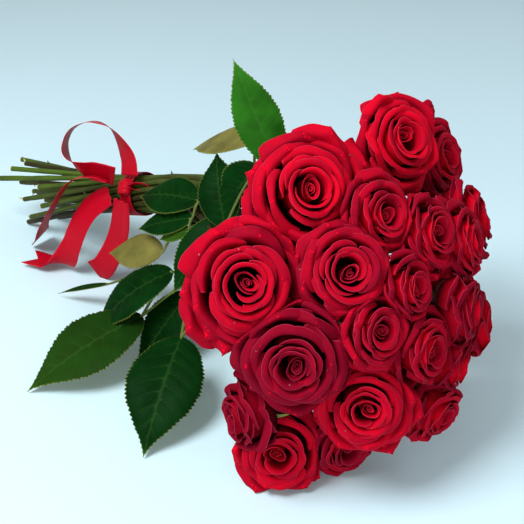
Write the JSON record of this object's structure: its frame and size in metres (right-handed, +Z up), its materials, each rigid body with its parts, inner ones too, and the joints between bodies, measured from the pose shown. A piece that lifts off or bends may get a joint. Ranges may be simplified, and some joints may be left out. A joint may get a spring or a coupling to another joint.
{
  "type": "bunch of roses",
  "caption": "Hand-tied bunch of long-stemmed red roses lying on its side, with a domed head of open flowers, dark leaves, bare cut stems and a red satin ribbon.",
  "frame": {"origin": "middle of the footprint, on the surface that the bunch lies on", "axes": "+X from the cut stem ends to the flowers, +Z up, +Y to the left when looking along +X"},
  "size_m": [0.6582, 0.381, 0.3002],
  "materials": {
    "petals": "velvet",
    "stems": "satin",
    "leaves": "satin",
    "ribbon": "satin"
  },
  "bodies": {
    "root": {"rose_01": "petals", "rose_02": "petals", "rose_03": "petals", "rose_04": "petals", "rose_05": "petals", "rose_06": "petals", "rose_07": "petals", "rose_08": "petals", "rose_09": "petals", "rose_10": "petals", "rose_11": "petals", "rose_12": "petals", "rose_13": "petals", "rose_14": "petals", "rose_15": "petals", "rose_16": "petals", "rose_17": "petals", "rose_18": "petals", "rose_19": "petals", "rose_20": "petals", "rose_21": "petals", "rose_22": "petals", "rose_23": "petals", "stem_01": "stems", "stem_02": "stems", "stem_03": "stems", "stem_04": "stems", "stem_05": "stems", "stem_06": "stems", "stem_07": "stems", "stem_08": "stems", "stem_09": "stems", "stem_10": "stems", "stem_11": "stems", "stem_12": "stems", "stem_13": "stems", "stem_14": "stems", "stem_15": "stems", "stem_16": "stems", "stem_17": "stems", "stem_18": "stems", "stem_19": "stems", "stem_20": "stems", "stem_21": "stems", "stem_22": "stems", "stem_23": "stems", "leaf_front": "leaves", "leaf_low": "leaves", "leaf_upright": "leaves", "leaf_back": "leaves", "leaf_dark_three": "leaves", "leaf_by_tie": "leaves", "leaf_pale": "leaves", "leaf_far_high": "leaves", "leaf_far_low": "leaves", "ribbon_wrap": "ribbon", "ribbon_loop": "ribbon", "ribbon_tail_thin": "ribbon", "ribbon_tail_front": "ribbon", "ribbon_tail_back": "ribbon"}
  },
  "joints": []
}
